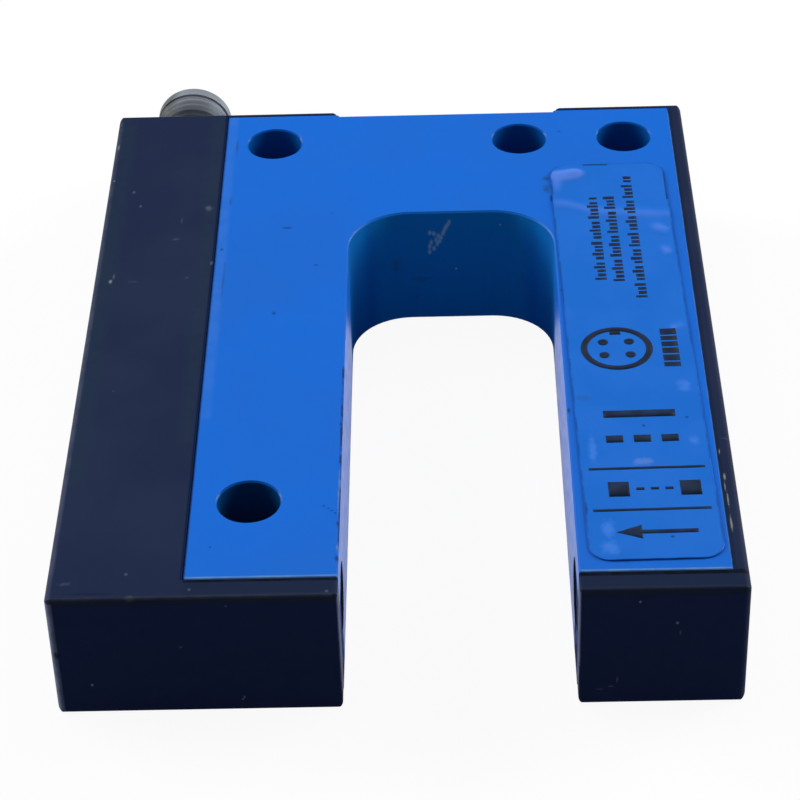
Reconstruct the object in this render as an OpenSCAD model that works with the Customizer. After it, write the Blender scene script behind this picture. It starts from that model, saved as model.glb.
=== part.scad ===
// Through-beam fork sensor: a U-shaped body with a receiver housing along its left side, an emitter
// cover along its right side and a round plug at the rear. Millimetres, +Z up.
// The origin lies on the underside, midway between the two outer rear mounting holes.

/* [Fork] */
// Clear width of the fork opening
slot_w = 20; // [16:0.5:30]
// Depth of the fork opening, from the end faces of the arms
slot_depth = 57; // [50:0.5:80]
// Corner radius at the closed end of the opening
slot_r = 6; // [3:0.5:7.5]
// Thickness of the sensor
thick = 12.8; // [12.4:0.1:16]
// Bridge, from the closed end of the opening to the rear face
bridge_d = 19.4; // [18:0.2:26]
// Width of the body's arm on the receiver side
receiver_arm_w = 13; // [12:0.1:18]
// Width of the body's arm on the emitter side
emitter_arm_w = 12.9; // [12.4:0.1:18]
// Wall between the opening and the emitter pocket
slot_wall = 3.2; // [2.4:0.1:3.6]
// Wall above, below and at the ends of the emitter pocket
pocket_wall = 2; // [1.4:0.1:2.2]
// Chamfer on the edges of the body
edge_chamfer = 0.15; // [0.1:0.05:0.4]

/* [Mounting holes] */
// Diameter of the mounting holes
hole_d = 5.5; // [4.3:0.1:6]
// From the wall of the opening to the outer holes
hole_in = 7.9; // [7:0.1:8.4]
// From the rear face to the rear holes
rear_hole_in = 6; // [5:0.1:7]
// From the end face to the front hole
front_hole_in = 12.4; // [12:0.1:20]
// From the right rear hole to the inner rear hole
inner_hole_gap = 10.7; // [8:0.1:14]
// Chamfer at the mouths of the holes
hole_chamfer = 0.15; // [0.1:0.05:0.6]

/* [Housing and cover] */
// Width of the receiver housing beside the body
housing_w = 11.4; // [11.2:0.1:16]
// Wall of the receiver housing
housing_wall = 1.6; // [1.4:0.1:1.8]
// Rear wall of the receiver housing, which holds the plug
rear_wall = 2.6; // [2:0.1:4]
// Thickness of the end walls in front of the arms
end_wall = 2.25; // [1.6:0.05:2.6]
// Thickness of the emitter cover beside the body
cover_t = 1.3; // [1:0.1:3]
// Rounding of the outer corners and of the long edges
edge_r = 0.7; // [0.3:0.1:0.9]
// Rounding of the edges of the end faces, above, below and beside the opening
end_edge_r = 0.25; // [0.1:0.05:0.6]
// Thickness of the lips along the rear face
lip_t = 0.8; // [0.8:0.1:1.6]
// Width of the lips that shows from above
lip_show = 0.5; // [0.3:0.1:0.7]
// Body skin that laps over the lips
skin_t = 1.2; // [0.8:0.1:2]
// From the wall of the opening to the end of the receiver lip
receiver_lip_in = 1.4; // [0.5:0.1:4]
// From the wall of the opening to the end of the emitter lip
emitter_lip_in = 0.9; // [0.5:0.1:4]
// Corner radius of the body inside the emitter cover's rear corner
corner_r = 0.8; // [0.3:0.1:1.5]
// Section of the gaskets, square
gasket_s = 0.8; // [0.5:0.1:0.9]
// From the cavity of the housing to its gasket
gasket_in = 0.3; // [0.2:0.05:0.4]
// Width of the rib that locates the cover in its pocket
rib_w = 1; // [0.8:0.1:1.6]

/* [Label] */
// Thickness of the label film
label_t = 0.12; // [0.08:0.02:0.3]
// Margin of the label to the edges of the arm
label_edge = 0.6; // [0.4:0.1:1]
// From the front edge of the body to the label
label_front = 1.1; // [0.6:0.1:3]
// From the rear holes to the label
label_rear = 5.4; // [4:0.1:30]
// Corner radius of the label
label_r = 2; // [0.5:0.1:4]

/* [Light path] */
// From the end faces to the beam
beam_in = 7.2; // [6.8:0.1:7.4]
// Diameter of the beam tunnels
beam_d = 3.2; // [2:0.1:3.4]
// Diameter of the windows
window_d = 6; // [5:0.1:7]
// Thickness of the windows
window_t = 1.2; // [0.8:0.1:1.6]
// Diameter of the lenses
lens_d = 4.2; // [3.8:0.1:5]
// Thickness of a lens at its edge
lens_edge = 1; // [0.6:0.1:1.2]
// Height of the curved side of a lens
lens_crown = 0.9; // [0.5:0.1:1.2]
// Depth of a lens behind the mouth of its holder
lens_seat = 2.4; // [2.4:0.1:3]
// Length of the optics holders along the beam
holder_l = 6.6; // [6.5:0.1:7.5]
// Width of the optics holders
holder_w = 6.4; // [6:0.1:7]
// Side of the square photodiode and light source
chip_s = 3.2; // [2.4:0.1:3.4]
// Thickness of the photodiode and light source
chip_t = 1.2; // [0.8:0.1:1.4]
// Thickness of the aperture plate
aperture_t = 0.3; // [0.2:0.05:0.4]
// Width of the slit in the aperture plate
slit_w = 0.6; // [0.3:0.1:1]
// Height of the slit in the aperture plate
slit_h = 2; // [1:0.1:2.4]

/* [Electronics] */
// Thickness of the main board
board_t = 1.6; // [1:0.1:1.7]
// Thickness of the emitter board
emitter_board_t = 1.2; // [0.8:0.1:1.6]
// Room behind the main board for the plug
plug_room = 5.3; // [5:0.1:8]
// Width of the ribs that carry the main board
board_rib_w = 2; // [1:0.1:4]
// Diameter of the link wires through the bridge
wire_d = 1; // [0.6:0.1:1.1]
// Spacing of the link wires
wire_pitch = 1.2; // [1.1:0.05:1.5]
// Width of the wire channel in the bridge
channel_w = 3; // [2:0.1:4]
// Height of the wire channel in the bridge
channel_h = 4.4; // [4:0.1:6]
// Wall between the opening and the wire channel
channel_wall = 3; // [2:0.1:4]
// Length of the controller chip
controller_l = 9; // [6:0.5:10]
// Width of the controller chip
controller_w = 6; // [4:0.5:8]
// Height of the controller chip
controller_h = 1.4; // [0.8:0.1:2]
// From the beam to the middle of the controller chip
controller_at = 15; // [14:0.5:16]
// Length of the output driver
driver_l = 6.5; // [4:0.5:7]
// Width of the output driver
driver_w = 3.6; // [2:0.1:6]
// Height of the output driver
driver_h = 1.7; // [1:0.1:2.4]
// From the link wires to the middle of the output driver
driver_at = 11.5; // [11:0.5:13]
// Diameter of the capacitors
capacitor_d = 4; // [3:0.1:5]
// Height of the capacitors
capacitor_h = 5.2; // [3:0.1:5.5]
// From the link wires to the nearer capacitor
capacitor_at = 18.5; // [17.5:0.5:19]
// Spacing of the capacitors
capacitor_pitch = 5.5; // [5:0.1:6]
// Length of the resistors
resistor_l = 1.6; // [1:0.1:2]
// Width of the resistors
resistor_w = 2.6; // [1.6:0.1:3.2]
// Height of the resistors
resistor_h = 0.6; // [0.3:0.1:1]
// Spacing of the resistors in a row
resistor_pitch = 4; // [3.4:0.1:5]
// From the beam to the front resistors on the main board
front_resistor_at = 7.5; // [6:0.1:8.5]
// From the link wires to the rear resistors on the main board
rear_resistor_at = 5.5; // [4:0.1:6]
// From the beam to the first resistor on the emitter board
emitter_resistor_at = 10; // [6:0.5:16]

/* [Plug] */
// From the side of the body to the axis of the plug
plug_in = 4.5; // [4.3:0.1:4.7]
// Outer diameter of the plug's thread
plug_d = 7.9; // [7.4:0.1:8]
// Length of the plug behind the rear face
plug_l = 9.8; // [8:0.1:14]
// Diameter of the plug's bore
plug_bore_d = 6.1; // [5.8:0.1:6.3]
// Length of the plain collar at the plug's mouth
collar_l = 1.4; // [0.8:0.1:2]
// Width of the grooves at the two ends of the thread
groove_l = 0.5; // [0.3:0.1:0.8]
// Depth of those grooves and of the seal's groove
groove_depth = 0.5; // [0.3:0.05:0.6]
// Chamfer at the plug's mouth
rim_chamfer = 0.25; // [0.1:0.05:0.3]
// Side of the square flange inside the rear wall
flange_s = 8.2; // [8:0.1:8.6]
// Diameter over the rounded corners of that flange
flange_d = 10; // [9.6:0.1:10.6]
// Thickness of that flange
flange_t = 1.2; // [0.8:0.1:1.4]
// Length of the contact carrier in front of its own flange
insert_l = 8; // [6:0.1:9]
// Diameter of the contact carrier's flange
insert_flange_d = 7.2; // [6.6:0.1:8]
// Thickness of the contact carrier's flange
insert_flange_t = 0.8; // [0.5:0.1:1]
// Diameter of the contact pins
pin_d = 1; // [0.8:0.05:1.05]
// Length of the pins in front of the contact carrier
pin_front = 4; // [3:0.1:4.6]
// Length of the pins behind the contact carrier
pin_back = 1.2; // [0.6:0.1:1.3]
// Spacing of the lower pair of pins
pin_wide = 2.8; // [2.4:0.1:3.2]
// Spacing of the upper pair of pins
pin_narrow = 1.9; // [1.7:0.1:2.4]
// Depth of the lower pair below the axis
pin_low = 0.7; // [0.5:0.1:0.9]
// Height of the upper pair above the axis
pin_high = 1.15; // [1:0.05:1.4]
// Diameter of the leads from the pins to the main board
lead_d = 0.7; // [0.5:0.05:0.8]
// Spacing of the leads where they meet the main board
lead_pitch = 1.4; // [1:0.1:1.6]

/* [Fits] */
// Radial clearance of round seats
slip = 0.05; // [0.02:0.01:0.08]
// Clearance round pieces that lie loosely in a recess
play = 0.2; // [0.1:0.05:0.3]
// How far cutting shapes run past the faces they cut
past = 1; // [0.5:0.1:2]

/* [Hidden] */
$fn = 64;

BLUE = [0.12, 0.42, 0.84];
DARK = [0.14, 0.17, 0.29];
FILM = [0.16, 0.44, 0.8];
METAL = [0.5, 0.53, 0.57];
RUBBER = [0.08, 0.08, 0.09];
FILTER = [0.1, 0.03, 0.06];
BOARD = [0.1, 0.36, 0.2];
CHIP = [0.1, 0.1, 0.11];
CLEAR = [0.85, 0.9, 0.93];
GOLD = [0.83, 0.66, 0.3];

// Main planes
y_rear = rear_hole_in;
y_slot = y_rear - bridge_d;
y_front = y_slot - slot_depth;
y_body = y_front + end_wall;
y_lip = y_rear - lip_t;
y_skin = y_rear - lip_show;
x_slot = slot_w / 2;
x_body_left = -x_slot - receiver_arm_w;
x_body_right = x_slot + emitter_arm_w;
x_left = x_body_left - housing_w;
x_right = x_body_right + cover_t;
z_mid = thick / 2;

// Mounting holes
hole_x = x_slot + hole_in;
hole_spots = [
    [-hole_x, 0],
    [hole_x, 0],
    [hole_x - inner_hole_gap, 0],
    [-hole_x, y_front + front_hole_in]
];

// Front end of the cavity and of the pocket, just ahead of the optics holders
beam_y = y_front + beam_in;
optics_y0 = beam_y - holder_w / 2 - play;

// Cavity of the receiver housing
cav_x0 = x_left + housing_wall;
cav_y0 = optics_y0;
cav_y1 = y_rear - rear_wall;
cav_z0 = housing_wall;
cav_z1 = thick - housing_wall;

// Pocket in the emitter arm
pocket_x0 = x_slot + slot_wall;
pocket_y0 = optics_y0;
pocket_y1 = y_slot + channel_wall + channel_w + pocket_wall;
pocket_z0 = pocket_wall;
pocket_z1 = thick - pocket_wall;

// Optics holders and boards
holder_half_h = z_mid - max(pocket_wall, housing_wall) - play;
board_face = x_body_left - holder_l;
board_back = board_face - board_t;
board_y0 = cav_y0 + play;
board_y1 = cav_y1 - plug_room;
board_z0 = cav_z0 + play;
board_z1 = cav_z1 - play;
emitter_face = pocket_x0 + holder_l;
emitter_back = emitter_face + emitter_board_t;
channel_y = y_slot + channel_wall + channel_w / 2;
controller_size = [controller_l, controller_w, controller_h];
driver_size = [driver_l, driver_w, driver_h];
resistor_size = [resistor_l, resistor_w, resistor_h];

// Plug, measured along Y from its mouth back to its pins
plug_x = x_body_left - plug_in;
plug_y1 = y_rear + plug_l;
flange_y0 = cav_y1 - flange_t;
insert_y0 = flange_y0 - insert_flange_t;
insert_y1 = flange_y0 + insert_l;
pin_y0 = insert_y0 - pin_back;
pin_y1 = insert_y1 + pin_front;
pin_spots = [
    [-pin_wide / 2, -pin_low],
    [pin_wide / 2, -pin_low],
    [-pin_narrow / 2, pin_high],
    [pin_narrow / 2, pin_high]
];
seal_y = y_rear - rear_wall / 2;
seal_d = groove_depth;
seal_groove_l = seal_d + 2 * slip;
groove_d = plug_d - 2 * groove_depth;

// Shared shapes

// Rectangle with rounded corners
module round_rect(x0, y0, x1, y1, r) {
    translate([x0 + r, y0]) square([x1 - x0 - 2 * r, y1 - y0]);
    translate([x0, y0 + r]) square([x1 - x0, y1 - y0 - 2 * r]);
    for (x = [x0 + r, x1 - r], y = [y0 + r, y1 - r]) translate([x, y]) circle(r);
}

// Rectangle with its own radius at each corner: left and right at y0, then right and left at y1
module corner_rect(x0, y0, x1, y1, radii) {
    corners = [[x0, y0], [x1, y0], [x1, y1], [x0, y1]];
    inward = [[1, 1], [-1, 1], [-1, -1], [1, -1]];
    difference() {
        translate([x0, y0]) square([x1 - x0, y1 - y0]);
        for (i = [0 : 3]) difference() {
            translate(corners[i]) square(2 * radii[i], center = true);
            translate(corners[i] + radii[i] * inward[i]) circle(radii[i]);
        }
    }
}

// Rectangle with chamfered corners
module chamfer_rect(x0, y0, x1, y1, c) {
    polygon([
        [x0 + c, y0], [x1 - c, y0], [x1, y0 + c], [x1, y1 - c],
        [x1 - c, y1], [x0 + c, y1], [x0, y1 - c], [x0, y0 + c]
    ]);
}

// Box between two corners
module block(low, high) {
    translate(low) cube(high - low);
}

// Prism along X of an outline drawn in Y and Z
module along_x(x0, x1) {
    translate([x0, 0, 0]) rotate([90, 0, 90]) linear_extrude(x1 - x0) children();
}

// Prism along Y of an outline drawn in X and Z
module along_y(y0, y1) {
    translate([0, y1, 0]) rotate([90, 0, 0]) linear_extrude(y1 - y0) children();
}

// Round rod along X
module rod_x(x0, x1, y, z, d) {
    translate([x0, y, z]) rotate([0, 90, 0]) cylinder(h = x1 - x0, d = d);
}

// Round rod along Y
module rod_y(y0, y1, x, z, d) {
    translate([x, y0, z]) rotate([-90, 0, 0]) cylinder(h = y1 - y0, d = d);
}

// Full-length block over one arm, from its outer side to the wall of the opening, with rounded edges
// that are crisper round the end face and beside the opening
module soft_block(x_out, x_in) {
    w = abs(x_in - x_out);
    translate([x_out, 0, 0]) mirror([x_in < x_out ? 1 : 0, 0, 0]) intersection() {
        linear_extrude(thick)
            corner_rect(0, y_front, w, y_rear, [edge_r, end_edge_r, end_edge_r, edge_r]);
        along_x(0, w) round_rect(y_front, 0, y_rear, thick, end_edge_r);
        along_y(y_front, y_rear) corner_rect(0, 0, w, thick, [edge_r, edge_r, end_edge_r, edge_r]);
    }
}

// Outline of the lip on the rear face: side -1 is the receiver's, side 1 the emitter's
module lip_plan(side) {
    x_in = side < 0 ? -x_slot - receiver_lip_in : x_slot + emitter_lip_in;
    x_out = side < 0 ? x_body_left : x_body_right;
    polygon([[x_out, y_lip], [x_in, y_lip], [x_in + side * lip_t, y_rear], [x_out, y_rear]]);
}

// Room for the body's skins over and under a lip
module lip_skins(side) {
    x_in = side < 0 ? x_body_left : x_slot;
    x_out = side < 0 ? -x_slot : x_body_right;
    for (z = [-past, thick - skin_t])
        block([x_in, y_lip - past, z], [x_out, y_skin, z + skin_t + past]);
}

// Piece of the emitter cover that fills the body's rounded rear corner
module corner_fill() {
    linear_extrude(thick) translate([x_body_right - corner_r, y_skin - corner_r]) difference() {
        square(corner_r);
        circle(corner_r);
    }
}

// Square-section frame in a plane across X
module frame_x(x0, x1, y0, z0, y1, z1, w) {
    difference() {
        block([x0, y0, z0], [x1, y1, z1]);
        block([x0 - past, y0 + w, z0 + w], [x1 + past, y1 - w, z1 - w]);
    }
}

// The fork opening with flared edges above and below
module slot_cut() {
    y_arc = y_slot - slot_r;
    x_flat = x_slot - slot_r;
    c = edge_chamfer;
    flare = [
        [-x_slot - c - past, thick + past], [-x_slot, thick - c], [-x_slot, c], [-x_slot - c - past, -past],
        [x_slot + c + past, -past], [x_slot, c], [x_slot, thick - c], [x_slot + c + past, thick + past]
    ];
    end_flare = [
        [y_arc - past, thick + past], [y_arc - past, -past], [y_slot + c + past, -past],
        [y_slot, c], [y_slot, thick - c], [y_slot + c + past, thick + past]
    ];
    along_y(y_front - past, y_arc) polygon(flare);
    along_x(-x_flat, x_flat) polygon(end_flare);
    for (x = [-x_flat, x_flat]) translate([x, y_arc, 0]) {
        cylinder(h = thick, r = slot_r);
        translate([0, 0, thick - c]) cylinder(h = c + past, r1 = slot_r, r2 = slot_r + c + past);
        translate([0, 0, -past]) cylinder(h = c + past, r1 = slot_r + c + past, r2 = slot_r);
    }
}

// One mounting hole with chamfered mouths
module hole_cut() {
    flare = hole_chamfer + past;
    translate([0, 0, -past]) cylinder(h = thick + 2 * past, d = hole_d);
    translate([0, 0, thick - hole_chamfer]) cylinder(h = flare, d1 = hole_d, d2 = hole_d + 2 * flare);
    translate([0, 0, -past]) cylinder(h = flare, d1 = hole_d + 2 * flare, d2 = hole_d);
}

// Recess of the body's rear face between the two lips
module rear_recess() {
    x0 = -x_slot - receiver_lip_in;
    x1 = x_slot + emitter_lip_in;
    run = lip_t + past;
    c = edge_chamfer;
    translate([0, 0, -past]) linear_extrude(thick + 2 * past)
        polygon([[x0, y_lip], [x1, y_lip], [x1 + run, y_lip + run], [x0 - run, y_lip + run]]);
    along_x(x0, x1) polygon([
        [y_lip, c], [y_lip, thick - c], [y_lip - c, thick], [y_lip - c, thick + past],
        [y_rear, thick + past], [y_rear, -past], [y_lip - c, -past], [y_lip - c, 0]
    ]);
}

// Plano-convex lens on the beam, flat side at x and crown towards side
module lens(x, side) {
    r = lens_d / 2;
    ball = (r * r + lens_crown * lens_crown) / (2 * lens_crown);
    length = lens_edge + lens_crown;
    translate([x, beam_y, z_mid]) rotate([0, side * 90, 0]) intersection() {
        cylinder(h = length, r = r);
        translate([0, 0, length - ball]) sphere(r = ball);
    }
}

// Holder between a wall at x and a board: side is the way from the board to the wall
module holder(x, side) {
    chip_room = chip_s + 2 * play;
    chip_depth = chip_t + aperture_t + play;
    translate([x, beam_y, z_mid]) rotate([0, side * 90, 0]) difference() {
        translate([-holder_half_h, -holder_w / 2, -holder_l])
            cube([2 * holder_half_h, holder_w, holder_l]);
        translate([0, 0, -lens_seat]) cylinder(h = lens_seat + past, d = lens_d + 2 * slip);
        translate([0, 0, -holder_l]) cylinder(h = holder_l, d = beam_d);
        translate([-chip_room / 2, -chip_room / 2, -holder_l - past])
            cube([chip_room, chip_room, chip_depth + past]);
    }
}

// Row of small parts on a board face: spots along Y at height z, growing towards side
module on_board(x, side, spots, size) {
    for (spot = spots)
        translate([side > 0 ? x : x - size[2], spot[0] - size[0] / 2, spot[1] - size[1] / 2])
            cube([size[2], size[0], size[1]]);
}

// Gasket of the receiver housing, let into the body's left side round the mouth of the cavity
module receiver_gasket_frame() {
    out = gasket_in + gasket_s;
    frame_x(x_body_left, x_body_left + gasket_s, cav_y0 - out, cav_z0 - out,
        cav_y1 + out, cav_z1 + out, gasket_s);
}

// Body

module fork_body() {
    color(BLUE) difference() {
        intersection() {
            block([x_body_left, y_body, 0], [x_body_right, y_skin, thick]);
            along_x(x_body_left, x_body_right) chamfer_rect(y_body, 0, y_skin, thick, edge_chamfer);
            along_y(y_body, y_skin) chamfer_rect(x_body_left, 0, x_body_right, thick, edge_chamfer);
        }
        slot_cut();
        rear_recess();
        corner_fill();
        for (side = [-1, 1])
            translate([0, 0, skin_t]) linear_extrude(thick - 2 * skin_t) lip_plan(side);
        for (spot = hole_spots) translate([spot[0], spot[1], 0]) hole_cut();
        receiver_gasket_frame();
        // Emitter pocket, with its gasket's rebate
        block([pocket_x0, pocket_y0, pocket_z0], [x_body_right + past, pocket_y1, pocket_z1]);
        block([x_body_right - gasket_s, pocket_y0 - gasket_s, pocket_z0 - gasket_s],
            [x_body_right + past, pocket_y1 + gasket_s, pocket_z1 + gasket_s]);
        // Wire channel through the bridge
        block([x_body_left - past, channel_y - channel_w / 2, z_mid - channel_h / 2],
            [pocket_x0 + past, channel_y + channel_w / 2, z_mid + channel_h / 2]);
        // Beam tunnels and window seats
        rod_x(x_body_left - past, pocket_x0 + past, beam_y, z_mid, beam_d);
        rod_x(-x_slot - window_t, x_slot + window_t, beam_y, z_mid, window_d);
    }
}

// Receiver housing along the left side

module receiver_housing() {
    color(DARK) {
        difference() {
            intersection() {
                soft_block(x_left, -x_slot);
                linear_extrude(thick) {
                    translate([x_left, y_front]) square([housing_w, y_rear - y_front]);
                    translate([x_left, y_front]) square([housing_w + receiver_arm_w, end_wall]);
                    lip_plan(-1);
                }
            }
            lip_skins(-1);
            block([cav_x0, cav_y0, cav_z0], [x_body_left + past, cav_y1, cav_z1]);
            rod_y(cav_y1 - past, y_rear + past, plug_x, z_mid, plug_d + 2 * slip);
        }
        // Ribs that carry the main board
        for (y = [board_y0, (board_y0 + board_y1 - board_rib_w) / 2, board_y1 - board_rib_w])
            block([cav_x0, y, cav_z0], [board_back, y + board_rib_w, cav_z1]);
    }
}

module receiver_gasket() {
    color(RUBBER) receiver_gasket_frame();
}

// Emitter cover along the right side

module emitter_cover() {
    color(DARK) {
        difference() {
            intersection() {
                soft_block(x_right, x_slot);
                linear_extrude(thick) {
                    translate([x_body_right, y_front]) square([cover_t, y_rear - y_front]);
                    translate([x_slot, y_front]) square([emitter_arm_w + cover_t, end_wall]);
                    lip_plan(1);
                }
            }
            lip_skins(1);
        }
        corner_fill();
        frame_x(emitter_back, x_body_right, pocket_y0 + slip, pocket_z0 + slip,
            pocket_y1 - slip, pocket_z1 - slip, rib_w);
    }
}

module emitter_gasket() {
    color(RUBBER) frame_x(x_body_right - gasket_s, x_body_right, pocket_y0 - gasket_s,
        pocket_z0 - gasket_s, pocket_y1 + gasket_s, pocket_z1 + gasket_s, gasket_s);
}

module label_film() {
    y0 = y_body + label_front;
    color(FILM) translate([0, 0, thick]) linear_extrude(label_t)
        round_rect(x_slot + label_edge, y0, x_body_right - label_edge, -label_rear, label_r);
}

// Receiving optics

module receiver_window() {
    color(FILTER) rod_x(-x_slot - window_t, -x_slot, beam_y, z_mid, window_d - 2 * slip);
}

module receiver_holder() {
    color(CHIP) holder(x_body_left, 1);
}

module receiver_lens() {
    color(CLEAR) lens(x_body_left - lens_seat, 1);
}

module aperture_plate() {
    color(METAL) difference() {
        translate([board_face + chip_t + play, beam_y - chip_s / 2, z_mid - chip_s / 2])
            cube([aperture_t, chip_s, chip_s]);
        translate([board_face, beam_y - slit_w / 2, z_mid - slit_h / 2])
            cube([holder_l, slit_w, slit_h]);
    }
}

module photodiode() {
    color(CHIP) on_board(board_face, 1, [[beam_y, z_mid]], [chip_s, chip_s, chip_t]);
}

// Sending optics

module emitter_window() {
    color(FILTER) rod_x(x_slot, x_slot + window_t, beam_y, z_mid, window_d - 2 * slip);
}

module emitter_holder() {
    color(CHIP) holder(pocket_x0, -1);
}

module emitter_lens() {
    color(CLEAR) lens(pocket_x0 + lens_seat, -1);
}

module emitter_led() {
    color(CLEAR) on_board(emitter_face, -1, [[beam_y, z_mid]], [chip_s, chip_s, chip_t]);
}

// Boards

module main_board() {
    color(BOARD) block([board_back, board_y0, board_z0], [board_face, board_y1, board_z1]);
}

module controller_chip() {
    color(CHIP) on_board(board_face, 1, [[beam_y + controller_at, z_mid]], controller_size);
}

module output_driver() {
    color(CHIP) on_board(board_face, 1, [[channel_y - driver_at, z_mid]], driver_size);
}

module board_capacitors() {
    color(METAL) for (i = [0, 1])
        rod_x(board_face, board_face + capacitor_h, channel_y - capacitor_at - i * capacitor_pitch, z_mid,
            capacitor_d);
}

module board_resistors() {
    color(CHIP) on_board(board_face, 1,
        [for (y = [beam_y + front_resistor_at, channel_y - rear_resistor_at], side = [-1, 1])
            [y, z_mid + side * resistor_pitch / 2]], resistor_size);
}

module emitter_board() {
    color(BOARD) block([emitter_face, pocket_y0 + play, pocket_z0 + play],
        [emitter_back, pocket_y1 - play, pocket_z1 - play]);
}

module emitter_resistors() {
    color(CHIP) on_board(emitter_face, -1,
        [for (i = [0 : 2]) [beam_y + emitter_resistor_at + i * resistor_pitch, z_mid]], resistor_size);
}

module link_wires() {
    color(GOLD) for (i = [-1 : 1])
        rod_x(board_face, emitter_face, channel_y, z_mid + i * wire_pitch, wire_d);
}

// Plug

module plug_shell() {
    color(METAL) difference() {
        union() {
            intersection() {
                rod_y(flange_y0, cav_y1, plug_x, z_mid, flange_d);
                block([plug_x - flange_s / 2, flange_y0, z_mid - flange_s / 2],
                    [plug_x + flange_s / 2, cav_y1, z_mid + flange_s / 2]);
            }
            translate([plug_x, 0, z_mid]) rotate([-90, 0, 0]) rotate_extrude() polygon([
                [0, flange_y0],
                [plug_d / 2, flange_y0],
                [plug_d / 2, seal_y - seal_groove_l / 2],
                [groove_d / 2, seal_y - seal_groove_l / 2],
                [groove_d / 2, seal_y + seal_groove_l / 2],
                [plug_d / 2, seal_y + seal_groove_l / 2],
                [plug_d / 2, y_rear],
                [groove_d / 2, y_rear],
                [groove_d / 2, y_rear + groove_l],
                [plug_d / 2, y_rear + groove_l],
                [plug_d / 2, plug_y1 - collar_l - groove_l],
                [groove_d / 2, plug_y1 - collar_l - groove_l],
                [groove_d / 2, plug_y1 - collar_l],
                [plug_d / 2, plug_y1 - collar_l],
                [plug_d / 2, plug_y1 - rim_chamfer],
                [plug_d / 2 - rim_chamfer, plug_y1],
                [0, plug_y1]
            ]);
        }
        rod_y(flange_y0 - past, plug_y1 + past, plug_x, z_mid, plug_bore_d);
    }
}

module plug_insert() {
    color(CHIP) difference() {
        union() {
            rod_y(insert_y0, flange_y0, plug_x, z_mid, insert_flange_d);
            rod_y(insert_y0, insert_y1, plug_x, z_mid, plug_bore_d - 2 * slip);
        }
        for (spot = pin_spots)
            rod_y(insert_y0 - past, insert_y1 + past, plug_x + spot[0], z_mid + spot[1], pin_d + 2 * slip);
    }
}

module plug_pins() {
    color(GOLD) for (spot = pin_spots)
        rod_y(pin_y0, pin_y1, plug_x + spot[0], z_mid + spot[1], pin_d);
}

module plug_seal() {
    color(RUBBER) translate([plug_x, seal_y, z_mid]) rotate([-90, 0, 0])
        rotate_extrude() translate([(groove_d + seal_d + slip) / 2, 0]) circle(d = seal_d);
}

module plug_leads() {
    color(RUBBER) for (spot = pin_spots) {
        x = plug_x + spot[0];
        z = z_mid + spot[1];
        y = board_y1 - lead_pitch * (spot[0] < 0 ? 1 : 2);
        rod_y(y, pin_y0, x, z, lead_d);
        translate([x, y, z]) sphere(d = lead_d);
        rod_x(board_face, x, y, z, lead_d);
    }
}

fork_body();
receiver_housing();
emitter_cover();
receiver_gasket();
emitter_gasket();
label_film();
receiver_window();
receiver_holder();
receiver_lens();
aperture_plate();
photodiode();
emitter_window();
emitter_holder();
emitter_lens();
emitter_led();
main_board();
controller_chip();
output_driver();
board_capacitors();
board_resistors();
emitter_board();
emitter_resistors();
link_wires();
plug_shell();
plug_insert();
plug_pins();
plug_seal();
plug_leads();
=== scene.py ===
"""Dresses a through-beam fork sensor: painted body, moulded covers, label film and threaded plug."""
import logging
import math
from dataclasses import dataclass, field
from enum import Enum

import bpy
import numpy as np
from mathutils import Matrix, Vector


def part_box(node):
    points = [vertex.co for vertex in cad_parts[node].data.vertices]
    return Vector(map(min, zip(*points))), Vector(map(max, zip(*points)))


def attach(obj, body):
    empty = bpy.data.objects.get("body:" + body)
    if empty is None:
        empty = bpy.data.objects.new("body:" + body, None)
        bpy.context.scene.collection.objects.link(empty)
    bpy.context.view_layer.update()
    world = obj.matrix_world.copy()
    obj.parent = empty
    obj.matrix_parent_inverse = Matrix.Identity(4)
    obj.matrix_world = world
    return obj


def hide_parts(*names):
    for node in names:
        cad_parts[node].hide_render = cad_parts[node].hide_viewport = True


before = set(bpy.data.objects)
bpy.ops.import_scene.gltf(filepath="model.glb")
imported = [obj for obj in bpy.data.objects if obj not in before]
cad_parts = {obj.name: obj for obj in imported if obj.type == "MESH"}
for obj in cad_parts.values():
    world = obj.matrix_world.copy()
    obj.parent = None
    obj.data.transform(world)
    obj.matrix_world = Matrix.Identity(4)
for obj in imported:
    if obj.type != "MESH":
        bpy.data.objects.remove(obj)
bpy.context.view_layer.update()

LOG = logging.getLogger("fork_sensor")
MM = 0.001
BODY = "root"
MANY_OCTAVES = 4.0

Colour = tuple[float, float, float, float]
Point = tuple[float, float, float]
Pair = tuple[float, float]
Spot = tuple[float, ...]
Piece = bpy.types.Object
Socket = bpy.types.NodeSocket
Values = dict[str | int, object]


def srgb(red: int, green: int, blue: int) -> Colour:
    """Turns a display colour into a linear one by the standard curve: a straight foot, then a power.

    Args:
        red: Red, 0 to 255.
        green: Green, 0 to 255.
        blue: Blue, 0 to 255.

    Returns:
        The linear colour with an alpha of 1.
    """
    shares = np.array([red, green, blue]) / 255.0
    linear = np.where(shares <= 0.04045, shares / 12.92, ((shares + 0.055) / 1.055) ** 2.4)
    return (*linear.tolist(), 1.0)


def grey(level: float) -> Colour:
    """Gives a linear grey."""
    return (level, level, level, 1.0)


def node_box(name: str) -> tuple[np.ndarray, np.ndarray]:
    """Gives the low and high corner of a CAD node in millimetres."""
    low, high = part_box(name)
    return np.array(low) / MM, np.array(high) / MM


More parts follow.
